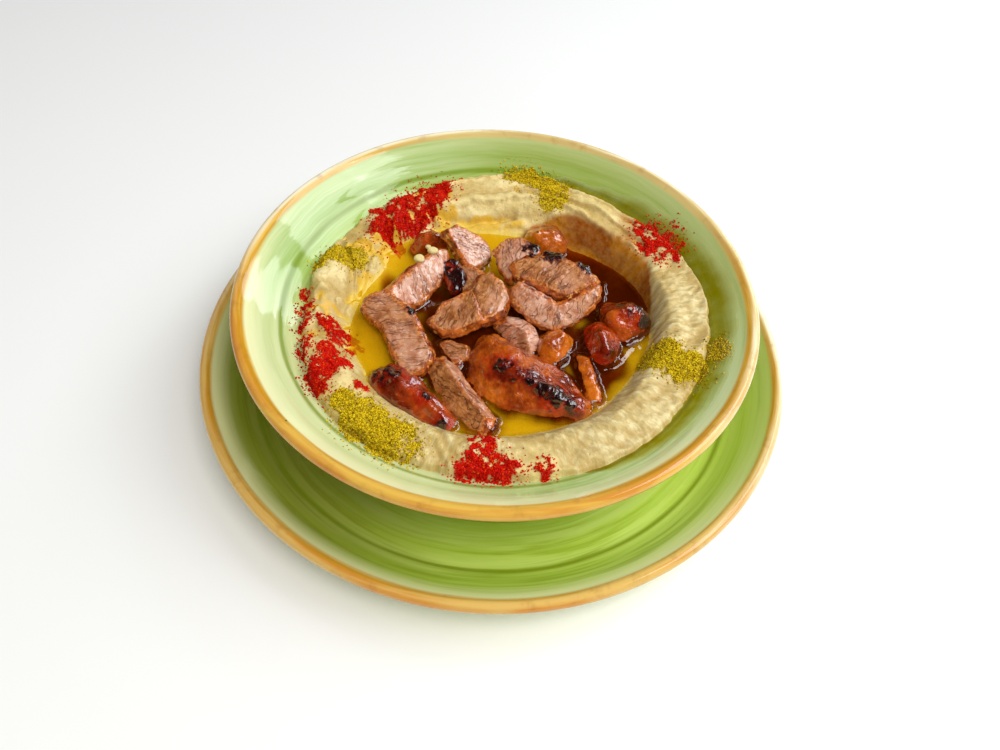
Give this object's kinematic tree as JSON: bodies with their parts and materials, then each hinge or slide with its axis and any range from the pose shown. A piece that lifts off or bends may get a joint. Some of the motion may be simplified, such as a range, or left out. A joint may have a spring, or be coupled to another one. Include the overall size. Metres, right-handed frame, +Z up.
{
  "type": "bowl of hummus with sliced meat",
  "caption": "Ring of hummus with spices round a pool of oil and grilled meat slices, in a green glazed bowl on its matching underplate.",
  "frame": {"origin": "middle of the underplate's foot, on the surface it stands on", "axes": "+Z up; -Y towards the side it is looked at from, where the ring of hummus carries paprika; +X to its right"},
  "size_m": [0.235, 0.235, 0.0523],
  "materials": {
    "plate_glaze": "glossy",
    "bowl_glaze": "glossy",
    "hummus": "matte",
    "pale_meat": "satin",
    "glazed_meat": "glossy",
    "oil": "glossy"
  },
  "bodies": {
    "root": {"underplate": "plate_glaze", "bowl": "bowl_glaze", "hummus": "hummus", "slice_right_top": "pale_meat", "slice_right_front": "pale_meat", "slice_middle": "pale_meat", "slice_right_flap": "pale_meat", "slice_back": "pale_meat", "wedge_front": "glazed_meat", "slice_left_upper": "pale_meat", "strip_left": "pale_meat", "piece_charred": "glazed_meat", "slice_behind_middle": "pale_meat", "slice_front": "pale_meat", "strip_front_left": "glazed_meat", "lump_right_back": "glazed_meat", "lump_right_front": "glazed_meat", "lump_back": "glazed_meat", "lump_far": "glazed_meat", "slice_under_middle": "pale_meat", "lump_under_right": "glazed_meat", "slice_small": "pale_meat", "sliver_right": "glazed_meat", "oil_pool_1": "oil"}
  },
  "joints": []
}
